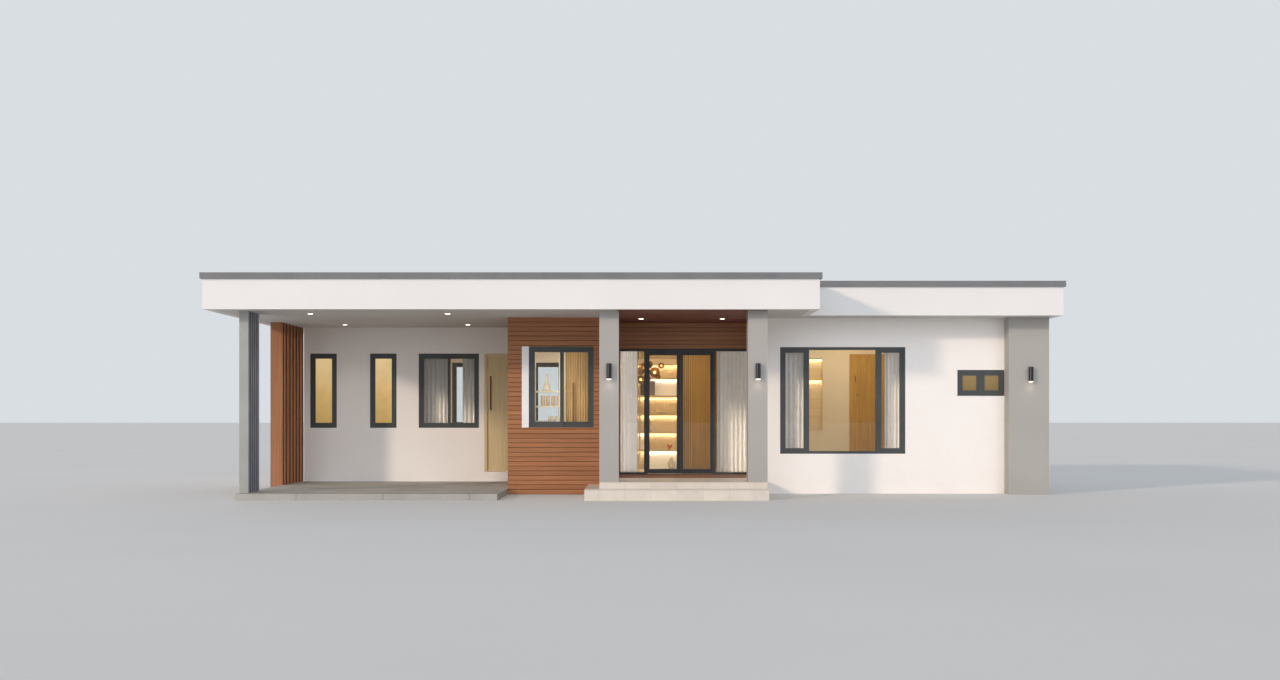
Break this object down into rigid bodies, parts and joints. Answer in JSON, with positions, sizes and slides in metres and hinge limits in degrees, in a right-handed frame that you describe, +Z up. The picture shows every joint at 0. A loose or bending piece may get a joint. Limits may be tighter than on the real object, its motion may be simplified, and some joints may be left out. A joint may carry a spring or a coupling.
{
  "type": "bungalow",
  "caption": "Single-storey house with a flat parapet roof, open carport, timber-clad kitchen block, recessed glazed entrance with opening leaves and a bedroom wing.",
  "frame": {"origin": "centre of the roof's plan outline, on the ground", "axes": "+X along the front to the right as seen from the street, +Y from the front to the rear, +Z up"},
  "size_m": [15.36, 10.38, 3.93],
  "materials": {
    "white_render": "fine painted render",
    "roof_deck": "painted soffit under a grey membrane",
    "grey_render": "fine painted render",
    "paving_concrete": "brushed concrete",
    "step_tile": "matt tile",
    "floor_tile": "satin tile",
    "clad_timber": "oiled boards",
    "cap_metal": "satin coating",
    "frame_metal": "charcoal powder coat",
    "clear_glass": "clear float glass",
    "frosted_glass": "frosted, lit from inside",
    "door_oak": "satin veneer",
    "pull_bronze": "dark bronze",
    "lamp_metal": "satin coating",
    "lamp_lens": "opal lens",
    "curtain_cloth": "plain weave",
    "inner_paint": "matt paint",
    "inner_timber": "satin veneer",
    "hinge_steel": "satin"
  },
  "bodies": {
    "house": {"carport_rear_wall": "white_render", "side_door_wall": "white_render", "left_wall": "white_render", "right_wall": "white_render", "rear_wall": "white_render", "kitchen_side_wall": "white_render", "kitchen_front_wall": "white_render", "porch_side_walls": "white_render", "wing_wall_piers": "white_render", "wing_wall_bands": "white_render", "front_fascia": "white_render", "side_fascias": "white_render", "rear_fascia": "white_render", "window_side_board": "white_render", "main_roof_deck": "roof_deck", "wing_roof_deck": "roof_deck", "carport_column": "grey_render", "entry_columns": "grey_render", "corner_pier": "grey_render", "carport_slab": "paving_concrete", "entry_lower_step": "step_tile", "entry_platform": "step_tile", "house_floor": "floor_tile", "kitchen_cladding": "clad_timber", "entry_head_wall": "clad_timber", "porch_soffit": "clad_timber", "porch_floor": "clad_timber", "fin_screen": "clad_timber", "parapet_cap": "cap_metal", "carport_window_frames": "frame_metal", "front_window_frames": "frame_metal", "rear_window_frames": "frame_metal", "side_window_frames": "frame_metal", "sidelight_frames": "frame_metal", "entry_head_rail": "frame_metal", "window_glass": "clear_glass", "frosted_glass": "frosted_glass", "side_door_jambs": "door_oak", "side_door_head": "door_oak", "wall_lights": "lamp_metal", "downlights": "lamp_lens", "curtains": "curtain_cloth", "inner_walls": "inner_paint", "display_shelves": "inner_timber", "shelf_uprights": "inner_timber", "timber_panels": "inner_timber", "door_hinges": "hinge_steel"},
    "entry_leaf_left": {"entry_leaf_left": "frame_metal", "entry_glass_left": "clear_glass"},
    "entry_leaf_right": {"entry_leaf_right": "frame_metal", "entry_glass_right": "clear_glass"},
    "side_door": {"side_door_leaf": "door_oak", "side_door_pull": "pull_bronze"}
  },
  "joints": [
    {"name": "entry_left_hinge", "type": "hinge", "parent": "house", "child": "entry_leaf_left", "pos_m": [0.029, -1.412, 1.5], "axis": [0, 0, 1], "range_deg": [0, 90]},
    {"name": "entry_right_hinge", "type": "hinge", "parent": "house", "child": "entry_leaf_right", "pos_m": [1.351, -1.412, 1.5], "axis": [0, 0, -1], "range_deg": [0, 90]},
    {"name": "side_door_hinge", "type": "hinge", "parent": "house", "child": "side_door", "pos_m": [-2.614, -0.067, 1.5], "axis": [0, 0, -1], "range_deg": [0, 90]}
  ]
}
